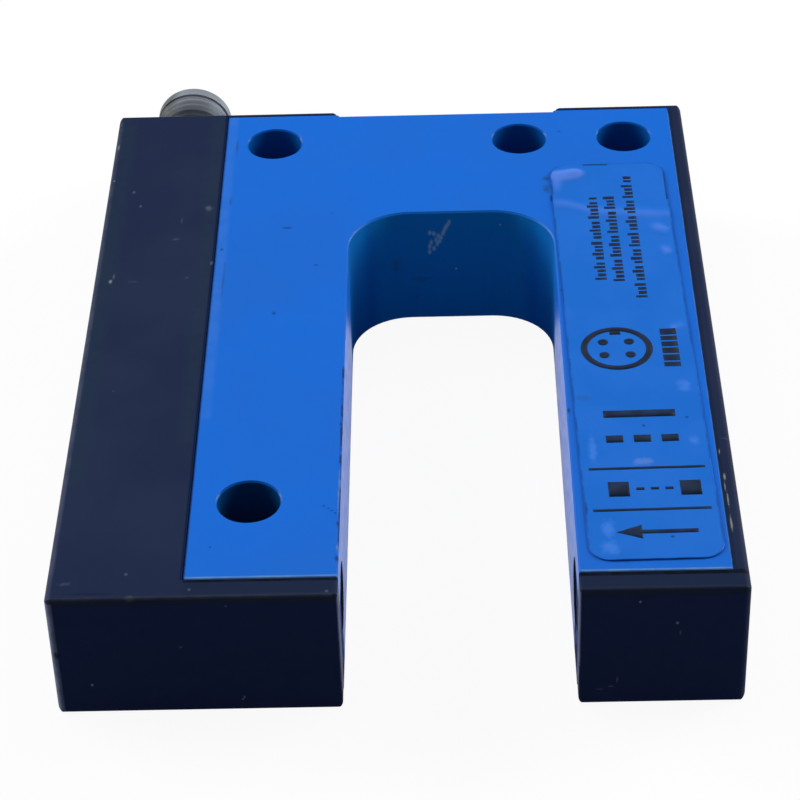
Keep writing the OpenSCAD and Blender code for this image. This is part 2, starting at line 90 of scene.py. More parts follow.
class Canvas:
    """Adds nodes to one shader tree and joins them."""

    def __init__(self, tree: bpy.types.NodeTree) -> None:
        """Keeps the tree that the nodes go into."""
        self.tree = tree

    def fill(self, made: bpy.types.Node, values: Values) -> bpy.types.Node:
        """Links sockets to a node's inputs, or sets the inputs to plain values.

        Args:
            made: The node.
            values: Sockets and plain values by the name or number of the input.

        Returns:
            The same node.
        """
        for label, value in values.items():
            if isinstance(value, Socket):
                self.tree.links.new(value, made.inputs[label])
            else:
                made.inputs[label].default_value = value
        return made

    def node(self, kind: str, values: Values | None = None, **settings: object) -> bpy.types.Node:
        """Adds one node.

        Args:
            kind: Blender's name of the node.
            values: What its inputs take.
            **settings: Values for the node's own properties.

        Returns:
            The new node.
        """
        made = self.tree.nodes.new(kind)
        for key, value in settings.items():
            setattr(made, key, value)
        return self.fill(made, values or {})

    def math(self, operation: str, *terms: object) -> Socket:
        """Gives the result of a Math node on one or two numbers."""
        return self.node("ShaderNodeMath", dict(enumerate(terms)), operation=operation).outputs[0]

    def vector(self, operation: str, *terms: object) -> Socket:
        """Gives the result of a Vector Math node, a number for LENGTH and a vector otherwise."""
        made = self.node("ShaderNodeVectorMath", dict(enumerate(terms)), operation=operation)
        return made.outputs["Value" if operation == "LENGTH" else "Vector"]

    def ramp(self, value: object, low: object, high: object, start: float = 0.0, end: float = 1.0) -> Socket:
        """Maps low..high smoothly to start..end."""
        values = dict(enumerate((value, low, high, start, end)))
        return self.node("ShaderNodeMapRange", values, interpolation_type="SMOOTHSTEP").outputs[0]

    def noise(self, place: object, scale: object, octaves: float = 3.0) -> Socket:
        """Gives noise at a place, from the waves per millimetre and the number of octaves."""
        values = {"Vector": place, "Scale": scale, "Detail": octaves}
        return self.node("ShaderNodeTexNoise", values).outputs[0]

    def tint(self, share: object, first: object, second: object) -> Socket:
        """Mixes two colours by the share of the second."""
        return self.node("ShaderNodeMix", {0: share, 6: first, 7: second}, data_type="RGBA").outputs[2]

    def place(self) -> Socket:
        """Gives the surface's own place in millimetres."""
        made = self.node("ShaderNodeTexCoord")
        return self.vector("MULTIPLY", made.outputs["Object"], (1 / MM, 1 / MM, 1 / MM))


class Effect(Enum):
    """Surface effects that several finishes share."""

    GRAIN = "surface_grain"
    SPECKS = "dust_specks"
    SCRATCHES = "fine_scratches"
    PATCH = "ragged_patch"
    SPOT = "soft_spot"
    BAND = "soft_band"


Layer = tuple[Effect, Values]


class EffectCanvas(Canvas):
    """Draws one shared effect inside its node group, from the group's inputs."""

    SPECK_CORE = 0.4
    GATE_SCALE, GATE_FADE = 0.45, 0.08
    BLOT_CORE, BLOT_RIM, RAG_GAIN = 0.2, 1.05, 4.0
    GAP_SCALE, GAP_RANGE = 0.6, (0.44, 0.6)

    def __init__(self, tree: bpy.types.NodeTree) -> None:
        """Keeps the group's tree and its inputs."""
        super().__init__(tree)
        self.given = self.node("NodeGroupInput").outputs
        self.at = self.given["Place"]

    def grain(self) -> Socket:
        """Fine relief: noise of many octaves at one wave per Size."""
        return self.noise(self.at, self.math("DIVIDE", 1.0, self.given["Size"]), MANY_OCTAVES)

    def specks(self) -> Socket:
        """Grains of dust: a round blot in a random share of the cells of a Voronoi pattern.

        Returns:
            The mask of the blots.
        """
        scale = self.math("DIVIDE", 1.0, self.given["Cell"])
        cells = self.node("ShaderNodeTexVoronoi", {"Vector": self.at, "Scale": scale}).outputs
        pick = self.node("ShaderNodeSeparateColor", {0: cells["Color"]}).outputs
        kept = self.math("LESS_THAN", pick[0], self.given["Share"])
        reach = self.math("MULTIPLY", self.given["Reach"], pick[1])
        core = self.math("MULTIPLY", reach, self.SPECK_CORE)
        return self.math("MULTIPLY", kept, self.ramp(cells["Distance"], core, reach, 1.0, 0.0))

    def scratches(self) -> Socket:
        """Hair lines: where stretched noise crosses its middle value, kept in a share of the surface.

        Returns:
            The mask of the lines.
        """
        drawn = self.vector("MULTIPLY", self.at, self.given["Stretch"])
        height = self.math("ABSOLUTE", self.math("SUBTRACT", self.noise(drawn, 1.0), 0.5))
        line = self.ramp(height, 0.0, self.given["Width"], 1.0, 0.0)
        limit = self.math("SUBTRACT", 1.0, self.given["Share"])
        fields = self.noise(self.at, self.GATE_SCALE)
        gate = self.ramp(fields, limit, self.math("ADD", limit, self.GATE_FADE))
        return self.math("MULTIPLY", line, gate)

    def distance(self) -> Socket:
        """Gives the distance from Centre in units of Reach."""
        away = self.vector("SUBTRACT", self.at, self.given["Centre"])
        return self.vector("LENGTH", self.vector("DIVIDE", away, self.given["Reach"]))

    def patch(self) -> Socket:
        """Ragged blot: distance from Centre in units of Reach, roughened by noise, fading at 1.

        Returns:
            The blot's mask.
        """
        rough = self.math("SUBTRACT", self.noise(self.at, self.given["Grit"]), 0.5)
        pushed = self.math("MULTIPLY", rough, self.math("MULTIPLY", self.given["Rag"], self.RAG_GAIN))
        return self.ramp(self.math("ADD", self.distance(), pushed), self.BLOT_CORE, self.BLOT_RIM, 1.0, 0.0)

    def spot(self) -> Socket:
        """Soft blot or line: distance from Centre in units of Reach, fading up to 1."""
        return self.ramp(self.distance(), self.BLOT_CORE, 1.0, 1.0, 0.0)

    def band(self) -> Socket:
        """Strip or line: 1 inside a box of half size Reach, fading over Soft at its faces, broken by noise.

        Returns:
            The strip's mask.
        """
        away = self.vector("ABSOLUTE", self.vector("SUBTRACT", self.at, self.given["Centre"]))
        past = self.vector("SUBTRACT", away, self.given["Reach"])
        scaled = self.vector("DIVIDE", past, self.given["Soft"])
        x, y, z = self.node("ShaderNodeSeparateXYZ", {0: scaled}).outputs
        outside = self.math("MAXIMUM", self.math("MAXIMUM", x, y), z)
        gaps = self.ramp(self.noise(self.at, self.GAP_SCALE, MANY_OCTAVES), *self.GAP_RANGE)
        kept = self.math("SUBTRACT", 1.0, self.math("MULTIPLY", gaps, self.given["Rag"]))
        return self.math("MULTIPLY", kept, self.ramp(outside, -1.0, 0.0, 1.0, 0.0))


class EffectLibrary:
    """Builds each shared effect once, as a node group."""

    RECIPES = {
        Effect.GRAIN: (EffectCanvas.grain, (), ("Size",)),
        Effect.SPECKS: (EffectCanvas.specks, (), ("Cell", "Share", "Reach")),
        Effect.SCRATCHES: (EffectCanvas.scratches, ("Stretch",), ("Width", "Share")),
        Effect.PATCH: (EffectCanvas.patch, ("Centre", "Reach"), ("Rag", "Grit")),
        Effect.SPOT: (EffectCanvas.spot, ("Centre", "Reach"), ()),
        Effect.BAND: (EffectCanvas.band, ("Centre", "Reach", "Soft"), ("Rag",)),
    }

    def __init__(self) -> None:
        """Builds each group from what draws it, its vectors besides Place and its numbers."""
        self.groups: dict[Effect, bpy.types.NodeTree] = {}
        for effect, (maker, vectors, numbers) in self.RECIPES.items():
            tree = bpy.data.node_groups.new(effect.value, "ShaderNodeTree")
            for kind, labels in (("Vector", ("Place", *vectors)), ("Float", numbers)):
                for label in labels:
                    tree.interface.new_socket(label, in_out="INPUT", socket_type="NodeSocket" + kind)
            tree.interface.new_socket("Mask", in_out="OUTPUT", socket_type="NodeSocketFloat")
            canvas = EffectCanvas(tree)
            canvas.node("NodeGroupOutput", {"Mask": maker(canvas)})
            self.groups[effect] = tree

    def use(self, canvas: Canvas, place: Socket, effect: Effect, values: Values) -> Socket:
        """Places a shared effect in a material.

        Args:
            canvas: The material's tree.
            place: Where it is read, in millimetres.
            effect: Which effect.
            values: The group's other inputs by name.

        Returns:
            The effect's socket.
        """
        inputs = {"Place": place, **values}
        return canvas.node("ShaderNodeGroup", inputs, node_tree=self.groups[effect]).outputs[0]


@dataclass(frozen=True)
class StainAndLight:
    """One blot, rubbed edge, fleck, painted shade or painted highlight at a known place, in millimetres.

    With soft it is a strip that fades over that width, the same along each axis or three widths. With rag
    alone it is a ragged blot, and otherwise an even spot.
    """

    colour: Colour
    centre: Point
    reach: Point
    strength: float = 0.8
    rag: float = 0.0
    grit: float = 1.5
    soft: float | Point = 0.0

    def layer(self) -> Layer:
        """Names the effect that draws the mark, with the values it takes.

        Returns:
            The effect, and its inputs by name.
        """
        place = {"Centre": self.centre, "Reach": self.reach}
        if self.soft:
            soft = self.soft if isinstance(self.soft, tuple) else (self.soft,) * 3
            return Effect.BAND, {**place, "Soft": soft, "Rag": self.rag}
        if self.rag:
            return Effect.PATCH, {**place, "Rag": self.rag, "Grit": self.grit}
        return Effect.SPOT, place


# Height and depth of marks that lie on one level, and place and depth of those on an upright face
TOP = (12.8, 0.6)
SCUFF = (12.8, 0.8)
SEAM = (12.8, 0.5)
EDGE = (12.7, 0.4)
RIM = (12.7, 0.095)
WALLS = (6.4, 6.38)
ON_FILM = (13.0, 1.0)
CLOSED_FACE = (-13.4, 1.0)
END_FACE = (-70.4, 0.6)


def upright(face: Pair, *spots: Spot) -> list[Spot]:
    """Turns x, z and two half sizes on a face across y into spots of six numbers."""
    return [(x, face[0], z, wide, face[1], tall) for x, z, wide, tall in spots]


def marks(
    colour: tuple[int, int, int], strength: float, *spots: Spot,
    level: Pair = TOP, rag: float = 0.0, grit: float = 1.5, soft: float | Point = 0.0,
) -> tuple[StainAndLight, ...]:
    """Makes several marks of one colour: dirt, wear, painted shade and painted highlights alike.

    A spot has six numbers, its centre and its reach in millimetres, or four: x, y and two half sizes, which
    take height and depth from the level.

    Args:
        colour: Their display colour, 0 to 255.
        strength: How far they cover what lies below.
        *spots: Where they are and how large.
        level: Height and depth of spots of four numbers.
        rag: How ragged they are.
        grit: How fine the rag is.
        soft: Width of a strip's fading edges, one for all axes or one for each.

    Returns:
        The stains.
    """
    made = []
    for spot in spots:
        if len(spot) == 4:
            spot = (*spot[:2], level[0], *spot[2:], level[1])
        made.append(StainAndLight(srgb(*colour), spot[:3], spot[3:], strength, rag, grit, soft))
    return tuple(made)


@dataclass(frozen=True)
class Dust:
    """Scattered specks: cell size and blot size in millimetres, and the share of cells that hold one."""

    colour: Colour
    cell: float
    share: float
    reach: float
    strength: float = 0.6

    def layer(self) -> Layer:
        """Names the effect that draws the specks, with its inputs by name."""
        return Effect.SPECKS, {"Cell": self.cell, "Share": self.share, "Reach": self.reach}


@dataclass(frozen=True)
class Scratch:
    """Hair scratches: stretch per axis, line width and share of the surface."""

    colour: Colour
    stretch: Point
    width: float
    share: float
    strength: float = 0.4

    def layer(self) -> Layer:
        """Names the effect that draws the lines, with its inputs by name."""
        return Effect.SCRATCHES, {"Stretch": self.stretch, "Width": self.width, "Share": self.share}


@dataclass(frozen=True)
class Finish:
    """One surface finish: two close tones, gloss, fine relief, what lies on it, painted shade and highlights,
    and where it has gone dull.
    """

    CLOUD_RANGE, GLOSS_SCALE, GLOSS_RANGE, BUMP = (0.35, 0.68), 0.7, (0.3, 0.7), 0.5

    name: str
    colour: Colour
    tone: Colour
    roughness: Pair
    cloud: float = 0.15
    metallic: float = 0.0
    specular: float = 0.3
    clear: float = 0.0
    grain: float = 0.4
    relief: float = 0.004
    dust: tuple[Dust, ...] = ()
    scratches: tuple[Scratch, ...] = ()
    stains_and_light: tuple[StainAndLight, ...] = ()
    dull: tuple[StainAndLight, ...] = ()

    def blend(self, canvas: Canvas, effects: EffectLibrary, place: Socket) -> Socket:
        """Mixes the finish's colour from its tones and all that lies on them, painted shade and highlights
        included.

        Args:
            canvas: The material's tree.
            effects: The shared effects.
            place: The surface's place in millimetres.

        Returns:
            The colour's socket.
        """
        share = canvas.ramp(canvas.noise(place, self.cloud, MANY_OCTAVES), *self.CLOUD_RANGE)
        colour = canvas.tint(share, self.colour, self.tone)
        for mark in (*self.scratches, *self.dust, *self.stains_and_light):
            mask = effects.use(canvas, place, *mark.layer())
            colour = canvas.tint(canvas.math("MULTIPLY", mask, mark.strength), colour, mark.colour)
        return self.overlay(canvas, place, colour)

    def overlay(self, canvas: Canvas, place: Socket, colour: Socket) -> Socket:
        """Adds nothing more; a finish that has more to show overrides this."""
        return colour

    def make(self, effects: EffectLibrary) -> bpy.types.Material:
        """Builds the material.

        Args:
            effects: The shared effects.

        Returns:
            The material.
        """
        material = bpy.data.materials.new(self.name)
        material.use_nodes = True
        canvas = Canvas(material.node_tree)
        place = canvas.place()
        gloss = canvas.noise(place, self.GLOSS_SCALE)
        rough = canvas.ramp(gloss, *self.GLOSS_RANGE, *self.roughness)
        for stain in self.dull:
            rough = canvas.math("MAXIMUM", rough, effects.use(canvas, place, *stain.layer()))
        grain = effects.use(canvas, place, Effect.GRAIN, {"Size": self.grain})
        relief = {"Strength": self.BUMP, "Distance": self.relief * MM, "Height": grain}
        canvas.fill(material.node_tree.nodes["Principled BSDF"], {
            "Base Color": self.blend(canvas, effects, place),
            "Roughness": rough,
            "Metallic": self.metallic,
            "Specular IOR Level": self.specular,
            "Transmission Weight": self.clear,
            "Normal": canvas.node("ShaderNodeBump", relief).outputs[0],
        })
        return material


@dataclass(frozen=True)
class FilmFinish(Finish):
    """Finish of the film: pale where the film lifts, partly a painted sheen and partly the whiter look of the
    air under it, with a broken line of dirt along its edge.
    """

    LIFT_RANGE, LIFT_SHARE, LINE_RANGE = (0.02, 0.17), 0.75, (0.03, 0.19)
    BREAK_SCALE, BREAK_RANGE, BREAK_SHARE = 0.5, (0.38, 0.6), (0.12, 0.9)

    pale: Colour = srgb(94, 136, 232)
    dirt: Colour = srgb(20, 76, 158)

    def overlay(self, canvas: Canvas, place: Socket, colour: Socket) -> Socket:
        """Tints the film by its stored lift and by the distance to its outline.

        Args:
            canvas: The material's tree.
            place: The surface's place in millimetres.
            colour: The colour so far.

        Returns:
            The tinted colour's socket.
        """
        lift = canvas.node("ShaderNodeAttribute", attribute_name="lift").outputs["Fac"]
        edge = canvas.node("ShaderNodeAttribute", attribute_name="edge").outputs["Fac"]
        # Pale tint by the lift: partly painted sheen on the raised film, partly the air under it
        share = canvas.ramp(lift, *self.LIFT_RANGE, 0.0, self.LIFT_SHARE)
        raised = canvas.tint(share, colour, self.pale)
        gaps = canvas.noise(place, self.BREAK_SCALE, MANY_OCTAVES)
        broken = canvas.ramp(gaps, *self.BREAK_RANGE, *self.BREAK_SHARE)
        line = canvas.math("MULTIPLY", canvas.ramp(edge, *self.LINE_RANGE, 1.0, 0.0), broken)
        return canvas.tint(line, raised, self.dirt)


def add_object(name: str, data: bpy.types.ID) -> Piece:
    """Adds an object to the scene.

    Args:
        name: Its name.
        data: Its mesh, lamp or camera.

    Returns:
        The new object.
    """
    made = bpy.data.objects.new(name, data)
    bpy.context.scene.collection.objects.link(made)
    return made


def place_mesh(name: str, points: np.ndarray, quads: np.ndarray, sharp: float = 60.0) -> Piece:
    """Makes a smooth mesh object at the origin.

    Args:
        name: The piece's name.
        points: Corners, one row each, in millimetres.
        quads: Four corner numbers per face, counter-clockwise from outside.
        sharp: Angle in degrees above which an edge stays crisp.

    Returns:
        The new object, linked to the scene.
    """
    mesh = bpy.data.meshes.new(name)
    mesh.from_pydata((points * MM).tolist(), [], quads.tolist())
    mesh.polygons.foreach_set("use_smooth", np.ones(len(quads), bool))
    mesh.set_sharp_from_angle(angle=math.radians(sharp))
    mesh.update()
    return add_object(name, mesh)


def grid_quads(rows: int, columns: int, wrap_rows: bool = False, wrap_columns: bool = False) -> np.ndarray:
    """Numbers the faces of a grid of points laid out row by row.

    Args:
        rows: Rows of points.
        columns: Points in a row.
        wrap_rows: Whether the last row joins the first.
        wrap_columns: Whether the last column joins the first.

    Returns:
        Four corner numbers per face.
    """
    i, j = np.meshgrid(
        np.arange(rows if wrap_rows else rows - 1),
        np.arange(columns if wrap_columns else columns - 1),
        indexing="ij",
    )
    below, beside = (i + 1) % rows, (j + 1) % columns
    corners = [i * columns + j, i * columns + beside, below * columns + beside, below * columns + j]
    return np.stack([c.ravel() for c in corners], 1)


@dataclass
class PlugShell:
    """Round plug shell with a rolled thread, a groove and a plain collar, in millimetres."""

    bore: float = 3.05
    flange: float = 4.08
    flange_length: float = 1.2
    barrel: float = 3.95
    root: float = 3.74
    groove: float = 3.74
    pitch: float = 1.0
    collar: float = 1.4
    groove_length: float = 0.35
    shoulder: float = 0.06
    chamfer: float = 0.25
    flank: float = 1.35
    crest: float = 0.1
    crisp: float = 40.0
    columns: int = 144
    steps: int = 14
    low: np.ndarray = field(default_factory=lambda: node_box("plug_shell")[0])
    high: np.ndarray = field(default_factory=lambda: node_box("plug_shell")[1])

    def profile(self) -> tuple[np.ndarray, np.ndarray, np.ndarray]:
        """Lists the section's corners from the inner end, along the outside and back through the bore.

        Returns:
            Place along the axis, radius, and 1 where the thread is cut.
        """
        start, end = self.low[1], self.high[1]
        wall = node_box("receiver_housing")[1][1]
        neck = end - self.collar
        first, last = wall + self.groove_length, neck - self.groove_length
        count = int(round((last - first) / self.pitch * self.steps))
        thread = np.linspace(first, last, count)
        head = np.array([
            [start, self.bore], [start, self.flange], [start + self.flange_length, self.flange],
            [start + self.flange_length, self.barrel], [wall, self.barrel], [wall, self.groove],
            [first, self.groove],
        ])
        tail = np.array([
            [last, self.groove], [neck - self.shoulder, self.groove], [neck, self.barrel],
            [end - self.chamfer, self.barrel], [end, self.barrel - self.chamfer],
            [end, self.bore + self.chamfer], [end - self.chamfer, self.bore],
        ])
        along = np.concatenate([head[:, 0], thread, tail[:, 0]])
        radius = np.concatenate([head[:, 1], np.full(count, self.barrel), tail[:, 1]])
        cut = np.concatenate([np.zeros(len(head)), np.ones(count), np.zeros(len(tail))])
        return along, radius, cut

    def build(self) -> Piece:
        """Turns the section about the plug's axis; the thread's radius falls with the distance from a helix.

        The phase is the place along the axis over the pitch, less the share of a turn. The radius runs from
        crest to root as a clipped triangle wave of that phase.

        Returns:
            The shell's object.
        """
        along, radius, cut = self.profile()
        turn = np.linspace(0.0, 2 * np.pi, self.columns, endpoint=False)
        phase = (along[:, None] / self.pitch - turn[None, :] / (2 * np.pi)) % 1.0
        depth = np.clip(self.flank * np.abs(2 * phase - 1) - self.crest, 0.0, 1.0)
        reach = radius[:, None] - cut[:, None] * (self.barrel - self.root) * depth
        middle = (self.low + self.high) / 2
        points = np.stack([
            middle[0] + reach * np.cos(turn),
            np.broadcast_to(along[:, None], reach.shape),
            middle[2] - reach * np.sin(turn),
        ], -1)
        quads = grid_quads(len(along), self.columns, wrap_rows=True, wrap_columns=True)
        return place_mesh("plug_shell_threaded", points.reshape(-1, 3), quads[:, ::-1], self.crisp)


@dataclass
class LabelFilm:
    """Printed film stuck on the emitter arm, a little askew, with a lifted corner, a crease and bubbles.

    A bump is its place across and along, its two half sizes and its height, in millimetres.
    """

    WAVE, WAVE_ACROSS, WAVE_SHIFT, WAVE_ALONG = 0.008, 1.3, 0.4, 0.55
    CREASE, CREASE_TALL, CREASE_WIDE, SLANT = 22.4, 0.085, 0.95, 0.12
    STEP, STEP_SHIFT, STEP_RATE = 0.6, 3.0, 0.8
    BUNCHING, GAP = 0.35, 0.004

    middle: Pair = (16.25, -36.05)
    half: Pair = (5.7, 30.7)
    corner: float = 1.9
    turn: float = 0.85
    thickness: float = 0.12
    ink: float = 0.012
    rows: int = 400
    columns: int = 81
    base: float = field(default_factory=lambda: float(node_box("label_film")[0][2]))
    bumps: tuple[Spot, ...] = (
        (-4.35, 28.7, 1.5, 0.9, 0.22),
        (-3.2, 29.1, 0.8, 0.7, 0.16),
        (-5.2, 27.0, 0.6, 1.6, 0.10),
        (4.2, 18.9, 0.8, 0.9, 0.10),
        (4.6, 15.1, 0.7, 0.9, 0.09),
        (4.9, 2.4, 0.6, 0.7, 0.08),
        (-2.6, -29.0, 1.0, 1.6, 0.04),
    )

    def lift(self, across: np.ndarray, along: np.ndarray) -> np.ndarray:
        """Height of the film's face over its seat: thickness, bell-shaped bumps, one crease and slow waves.

        Args:
            across: Place across the film.
            along: Place along the film.

        Returns:
            Heights in millimetres.
        """
        wave = np.sin(across * self.WAVE_ACROSS + self.WAVE_SHIFT) * np.sin(along * self.WAVE_ALONG)
        height = self.thickness + self.WAVE * wave
        for x, y, wide, long, tall in self.bumps:
            height = height + tall * np.exp(-(((across - x) / wide) ** 2) - ((along - y) / long) ** 2)
        step = self.STEP * np.tanh((across + self.STEP_SHIFT) * self.STEP_RATE)
        crease = self.CREASE - self.SLANT * across - step
        return height + self.CREASE_TALL * np.exp(-(((along - crease) / self.CREASE_WIDE) ** 2))

    def seat(self, across: np.ndarray, along: np.ndarray, over: float = 0.0) -> np.ndarray:
        """Turns film coordinates into points on the film's face.

        Args:
            across: Place across the film.
            along: Place along the film.
            over: Height over the face.

        Returns:
            Points in millimetres, with the coordinates in the last axis.
        """
        angle = math.radians(self.turn)
        x = self.middle[0] + across * math.cos(angle) - along * math.sin(angle)
        y = self.middle[1] + across * math.sin(angle) + along * math.cos(angle)
        return np.stack([x, y, self.base + self.lift(across, along) + over], -1)

    def build(self) -> Piece:
        """Lays rows across the film, closer near the ends, where the round corners leave a row less width.

        Returns:
            The film's object.
        """
        share = np.linspace(-1.0, 1.0, self.rows)
        bunched = self.BUNCHING * np.sin(share * np.pi / 2) + (1 - self.BUNCHING) * share
        along = self.half[1] * bunched
        wide, long = self.half[0] - self.corner, self.half[1] - self.corner
        inside = np.clip(np.abs(along) - long, 0.0, self.corner)
        width = wide + np.sqrt(self.corner ** 2 - inside ** 2)
        across = width[:, None] * np.linspace(-1.0, 1.0, self.columns)[None, :]
        along = np.broadcast_to(along[:, None], across.shape)
        points = self.seat(across, along).reshape(-1, 3)
        piece = place_mesh("label_film_stuck", points, grid_quads(self.rows, self.columns))
        outside = np.hypot(
            np.clip(np.abs(across) - wide, 0.0, None), np.clip(np.abs(along) - long, 0.0, None),
        )
        flat = np.minimum(self.half[0] - np.abs(across), self.half[1] - np.abs(along))
        edge = np.where(outside > 0, self.corner - outside, flat)
        for label, values in (("edge", edge), ("lift", self.lift(across, along) - self.thickness)):
            store = piece.data.attributes.new(label, "FLOAT", "POINT")
            store.data.foreach_set("value", values.ravel().astype(np.float32))
        solid = piece.modifiers.new("film", "SOLIDIFY")
        solid.thickness = (self.thickness - self.GAP) * MM
        solid.offset = -1.0
        return piece


@dataclass
class LabelPrint:
    """Generic marks printed on the film: an arrow, rules, pictograms and rows of blocks.

    A bar is half its length and its width, a circle its radius and its stroke. A row of blocks is its place
    across, its start and end along, the height of its blocks, what tall ones add and the size of a group.
    """

    SHAFT, RULE, ARROW, ARROW_HEAD = 0.5, 0.32, -27.15, (2.2, 0.9)
    BEAM_END, BEAM_DASH = (0.9, 2.0), (0.35, 0.34)
    LONG_BAR, SHORT_BAR, BAR_GAP = (3.2, 1.0), (0.75, 1.0), 3.6
    PLUG_RING, PIN_DOT, KEY, KEY_OFFSET = (3.0, 0.62), (0.24, 0.47), (0.5, 0.7), 2.5
    LINE_STEPS, RING_STEPS, WEDGE_GRID, INK_SHARE = 12, 72, (10, 5), 0.8
    BLOCK_SHORT, BLOCK_GROWTH, BLOCK_GAP, GROUP_GAP = 0.44, 0.06, 0.22, 0.55
    BLOCK_ROWS = (
        (-1.75, 10.2, 24.4, 0.78, 0.3, 5), (-0.05, 9.9, 24.5, 0.78, 0.3, 6),
        (1.88, 7.1, 28.0, 0.78, 0.3, 4), (3.65, -3.9, 1.6, 1.5, 0.0, 9),
    )

    film: LabelFilm
    parts: list[tuple[np.ndarray, np.ndarray]] = field(default_factory=list)

    def band(self, path: np.ndarray, width: float, closed: bool = False) -> None:
        """Adds a stroke: each point of the path is moved to both sides along the path's normal.

        Args:
            path: Points across and along the film.
            width: Stroke width.
            closed: Whether the path joins up.
        """
        if closed:
            ahead, behind = np.roll(path, -1, 0), np.roll(path, 1, 0)
            slope = ahead - behind
        else:
            slope = np.gradient(path, axis=0)
        normal = np.stack([-slope[:, 1], slope[:, 0]], 1)
        normal /= np.linalg.norm(normal, axis=1, keepdims=True)
        sides = np.linspace(-0.5, 0.5, 3)[None, :, None] * width
        points = path[:, None, :] + normal[:, None, :] * sides
        quads = grid_quads(len(path), 3, wrap_rows=closed)[:, ::-1]
        self.parts.append((points.reshape(-1, 2), quads))

    def line(self, start: Pair, end: Pair, width: float) -> None:
        """Adds a straight stroke in steps short enough to follow the film."""
        share = np.linspace(0.0, 1.0, self.LINE_STEPS)[:, None]
        self.band(np.array(start) * (1 - share) + np.array(end) * share, width)

    def bar(self, middle: Pair, half: float, width: float) -> None:
        """Adds a straight stroke across the film, about its middle."""
        self.line((middle[0] - half, middle[1]), (middle[0] + half, middle[1]), width)

    def ring(self, centre: Pair, radius: float, width: float) -> None:
        """Adds a circle."""
        turn = np.linspace(0.0, 2 * np.pi, self.RING_STEPS, endpoint=False)
        self.band(np.array(centre) + radius * np.stack([np.cos(turn), np.sin(turn)], 1), width, True)

    def wedge(self, tip: Pair, length: float, spread: float) -> None:
        """Adds an arrow head: rows across it that widen in proportion to the distance from the tip."""
        rows, columns = self.WEDGE_GRID
        share = np.linspace(0.0, 1.0, rows)[:, None]
        sides = np.linspace(-1.0, 1.0, columns)[None, :]
        across = tip[0] + np.broadcast_to(share * length, self.WEDGE_GRID)
        along = tip[1] + share * spread * sides
        points = np.stack([across, along], -1).reshape(-1, 2)
        self.parts.append((points, grid_quads(rows, columns)[:, ::-1]))

    def draw(self) -> None:
        """Lays out all marks from the front end of the film to the rear."""
        self.line((-1.2, self.ARROW), (3.7, self.ARROW), self.SHAFT)
        self.wedge((-3.25, self.ARROW), *self.ARROW_HEAD)
        for along in (-24.2, -18.55):
            self.line((-5.0, along), (5.1, along), self.RULE)
        self.pulse(-21.4)
        self.supply(-14.4)
        self.pins((-1.25, -0.9))
        self.rows_of_blocks()

    def pulse(self, along: float) -> None:
        """Adds a light beam between two blocks: two squares and a dashed line."""
        for across in (-2.6, 3.6):
            self.bar((across, along), *self.BEAM_END)
        for across in (-0.75, 0.5, 1.75):
            self.bar((across, along), *self.BEAM_DASH)

    def supply(self, along: float) -> None:
        """Adds the plain sign for direct current: a long bar over three short ones."""
        self.bar((0.0, along + self.BAR_GAP), *self.LONG_BAR)
        for across in (-2.45, 0.0, 2.45):
            self.bar((across, along), *self.SHORT_BAR)

    def pins(self, centre: Pair) -> None:
        """Adds the pin layout of the plug: a circle with four dots and a key."""
        self.ring(centre, *self.PLUG_RING)
        for across, along in ((-1.2, -1.0), (1.2, -1.0), (-1.2, 1.0), (1.2, 1.0)):
            self.ring((centre[0] + across, centre[1] + along), *self.PIN_DOT)
        self.bar((centre[0], centre[1] + self.KEY_OFFSET), *self.KEY)

    def rows_of_blocks(self) -> None:
        """Adds three rows of small blocks and a bolder one beside the pins, grouped like printed lines.

        Block i is short or long by the remainder of 7 i over 4, and low or tall by that of 5 i over 3.
        """
        for across, along, end, height, extra, group in self.BLOCK_ROWS:
            count = 0
            while along < end:
                length = height * (self.BLOCK_SHORT + self.BLOCK_GROWTH * (count * 7 % 4))
                tall = extra if count * 5 % 3 == 0 else 0.0
                self.line((across - tall / 2, along), (across - tall / 2, along + length), height + tall)
                count += 1
                along += length + (self.GROUP_GAP if count % group == 0 else self.BLOCK_GAP)

    def build(self) -> Piece:
        """Joins all strokes into one piece that follows the film's face.

        Returns:
            The print's object.
        """
        self.draw()
        starts = np.cumsum([0] + [len(points) for points, _ in self.parts[:-1]])
        flat = np.concatenate([points for points, _ in self.parts])
        quads = np.concatenate([quads + start for start, (_, quads) in zip(starts, self.parts)])
        points = self.film.seat(flat[:, 0], flat[:, 1], self.film.ink)
        piece = place_mesh("label_print", points, quads)
        solid = piece.modifiers.new("ink", "SOLIDIFY")
        solid.thickness = self.film.ink * self.INK_SHARE * MM
        solid.offset = -1.0
        return piece


